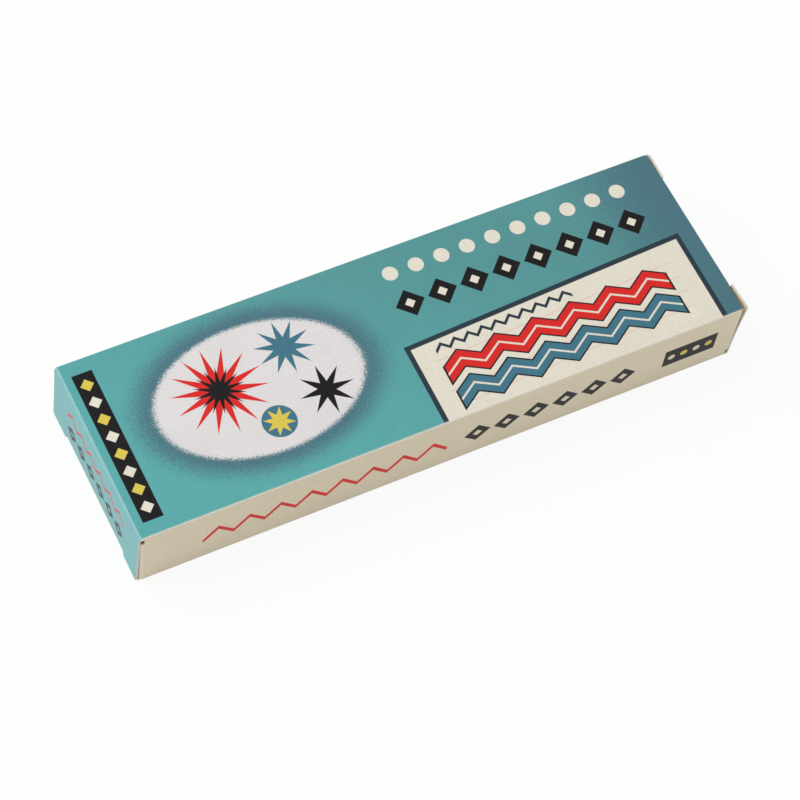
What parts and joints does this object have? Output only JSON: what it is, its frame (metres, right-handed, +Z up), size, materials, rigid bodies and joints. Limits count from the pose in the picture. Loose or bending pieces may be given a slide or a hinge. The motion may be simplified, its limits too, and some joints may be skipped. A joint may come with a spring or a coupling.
{
  "type": "boxed uv invisible ink pen set",
  "caption": "Closed reverse-tuck paperboard carton of capped invisible ink pens with a UV light in each cap; ends open, pens slide out, caps, buttons and clips work.",
  "frame": {"origin": "middle of the carton's bottom face, on the surface that it lies on", "axes": "+X along the carton to its right end, the pens' caps point to -X; -Y the front side; +Z up"},
  "size_m": [0.16, 0.05, 0.0206],
  "materials": {
    "board_teal": "printed, satin",
    "board_pale_teal": "printed, satin",
    "board_cream": "printed, satin",
    "board_plain": "uncoated",
    "plastic_red": "moulded, gloss",
    "plastic_blue": "moulded, gloss",
    "plastic_cap": "moulded, satin",
    "plastic_button": "moulded, matt",
    "plastic_nose": "moulded, satin",
    "plastic_liner": "soft moulded",
    "plastic_black": "moulded, matt",
    "fibre_white": "bonded fibre",
    "fibre_nib": "pressed fibre",
    "lamp_clear": "clear epoxy",
    "tinned_wire": "tinned",
    "cell_steel": "plated",
    "contact_brass": "stamped"
  },
  "bodies": {
    "carton": {"top_panel": "board_teal", "bottom_panel": "board_cream", "front_side_panel": "board_cream", "rear_side_panel": "board_cream", "glue_flap": "board_plain"},
    "left_closure": {"left_end_flap": "board_pale_teal"},
    "left_tongue": {"left_tuck_tongue": "board_plain"},
    "left_front_dust": {"left_front_dust_flap": "board_plain"},
    "left_rear_dust": {"left_rear_dust_flap": "board_plain"},
    "right_closure": {"right_end_flap": "board_cream"},
    "right_tongue": {"right_tuck_tongue": "board_plain"},
    "right_front_dust": {"right_front_dust_flap": "board_plain"},
    "right_rear_dust": {"right_rear_dust_flap": "board_plain"},
    "red_pen": {"red_barrel": "plastic_red", "red_ink_reservoir": "fibre_white", "red_nose_section": "plastic_nose", "red_nib": "fibre_nib"},
    "red_cap": {"red_cap_shell": "plastic_cap", "red_inner_cap": "plastic_liner", "red_light_head": "plastic_cap", "red_uv_led": "lamp_clear", "red_led_leads": "tinned_wire", "red_button_cells": "cell_steel", "red_cell_holder": "plastic_black", "red_cell_contact": "contact_brass", "red_switch_strip": "contact_brass"},
    "red_button": {"red_light_button": "plastic_button"},
    "red_clip_arm": {"red_clip": "plastic_cap"},
    "blue_pen": {"blue_barrel": "plastic_blue", "blue_ink_reservoir": "fibre_white", "blue_nose_section": "plastic_nose", "blue_nib": "fibre_nib"},
    "blue_cap": {"blue_cap_shell": "plastic_cap", "blue_inner_cap": "plastic_liner", "blue_light_head": "plastic_cap", "blue_uv_led": "lamp_clear", "blue_led_leads": "tinned_wire", "blue_button_cells": "cell_steel", "blue_cell_holder": "plastic_black", "blue_cell_contact": "contact_brass", "blue_switch_strip": "contact_brass"},
    "blue_button": {"blue_light_button": "plastic_button"},
    "blue_clip_arm": {"blue_clip": "plastic_cap"}
  },
  "joints": [
    {"name": "left_closure_fold", "type": "hinge", "parent": "carton", "child": "left_closure", "pos_m": [-0.08, 0, 0.0206], "axis": [0, 1, 0], "range_deg": [0, 180]},
    {"name": "left_tongue_fold", "type": "hinge", "parent": "left_closure", "child": "left_tongue", "pos_m": [-0.08, 0, 0.00105], "axis": [0, 1, 0], "range_deg": [0, 45]},
    {"name": "left_front_dust_fold", "type": "hinge", "parent": "carton", "child": "left_front_dust", "pos_m": [-0.0794, -0.025, 0.0103], "axis": [0, 0, 1], "range_deg": [0, 90]},
    {"name": "left_rear_dust_fold", "type": "hinge", "parent": "carton", "child": "left_rear_dust", "pos_m": [-0.0794, 0.025, 0.0103], "axis": [0, 0, -1], "range_deg": [0, 90]},
    {"name": "right_closure_fold", "type": "hinge", "parent": "carton", "child": "right_closure", "pos_m": [0.08, 0, 0], "axis": [0, 1, 0], "range_deg": [0, 85]},
    {"name": "right_tongue_fold", "type": "hinge", "parent": "right_closure", "child": "right_tongue", "pos_m": [0.08, 0, 0.01955], "axis": [0, 1, 0], "range_deg": [0, 21.25]},
    {"name": "right_front_dust_fold", "type": "hinge", "parent": "carton", "child": "right_front_dust", "pos_m": [0.0794, -0.025, 0.0103], "axis": [0, 0, -1], "range_deg": [0, 42.5]},
    {"name": "right_rear_dust_fold", "type": "hinge", "parent": "carton", "child": "right_rear_dust", "pos_m": [0.0794, 0.025, 0.0103], "axis": [0, 0, 1], "range_deg": [0, 42.5]},
    {"name": "red_pen_slide", "type": "slide", "parent": "carton", "child": "red_pen", "axis": [-1, 0, 0], "range_m": [0, 0.0942]},
    {"name": "red_cap_pull", "type": "slide", "parent": "red_pen", "child": "red_cap", "axis": [-1, 0, 0], "range_m": [0, 0.015]},
    {"name": "red_button_press", "type": "slide", "parent": "red_cap", "child": "red_button", "axis": [0, 1, 0], "range_m": [0, 0.0006], "stiffness_N_per_m": 800},
    {"name": "red_clip_flex", "type": "hinge", "parent": "red_cap", "child": "red_clip_arm", "pos_m": [-0.05105, 0.008, 0.01025], "axis": [0, -1, 0], "range_deg": [0, 4], "stiffness_Nm_per_rad": 1.2},
    {"name": "blue_pen_slide", "type": "slide", "parent": "carton", "child": "blue_pen", "axis": [-1, 0, 0], "range_m": [0, 0.0942]},
    {"name": "blue_cap_pull", "type": "slide", "parent": "blue_pen", "child": "blue_cap", "axis": [-1, 0, 0], "range_m": [0, 0.015]},
    {"name": "blue_button_press", "type": "slide", "parent": "blue_cap", "child": "blue_button", "axis": [0, 1, 0], "range_m": [0, 0.0006], "stiffness_N_per_m": 800},
    {"name": "blue_clip_flex", "type": "hinge", "parent": "blue_cap", "child": "blue_clip_arm", "pos_m": [-0.05105, -0.008, 0.01025], "axis": [0, -1, 0], "range_deg": [0, 4], "stiffness_Nm_per_rad": 1.2}
  ],
  "couplings": [
    {"joint": "left_closure_fold", "follows": "red_pen_slide", "rad_per_m": 33.333},
    {"joint": "left_tongue_fold", "follows": "red_pen_slide", "rad_per_m": 8.3333},
    {"joint": "left_front_dust_fold", "follows": "red_pen_slide", "rad_per_m": 16.667},
    {"joint": "left_rear_dust_fold", "follows": "red_pen_slide", "rad_per_m": 16.667},
    {"joint": "right_tongue_fold", "follows": "right_closure_fold", "ratio": 0.25},
    {"joint": "right_front_dust_fold", "follows": "right_closure_fold", "ratio": 0.5},
    {"joint": "right_rear_dust_fold", "follows": "right_closure_fold", "ratio": 0.5},
    {"joint": "blue_pen_slide", "follows": "red_pen_slide", "ratio": 1}
  ]
}
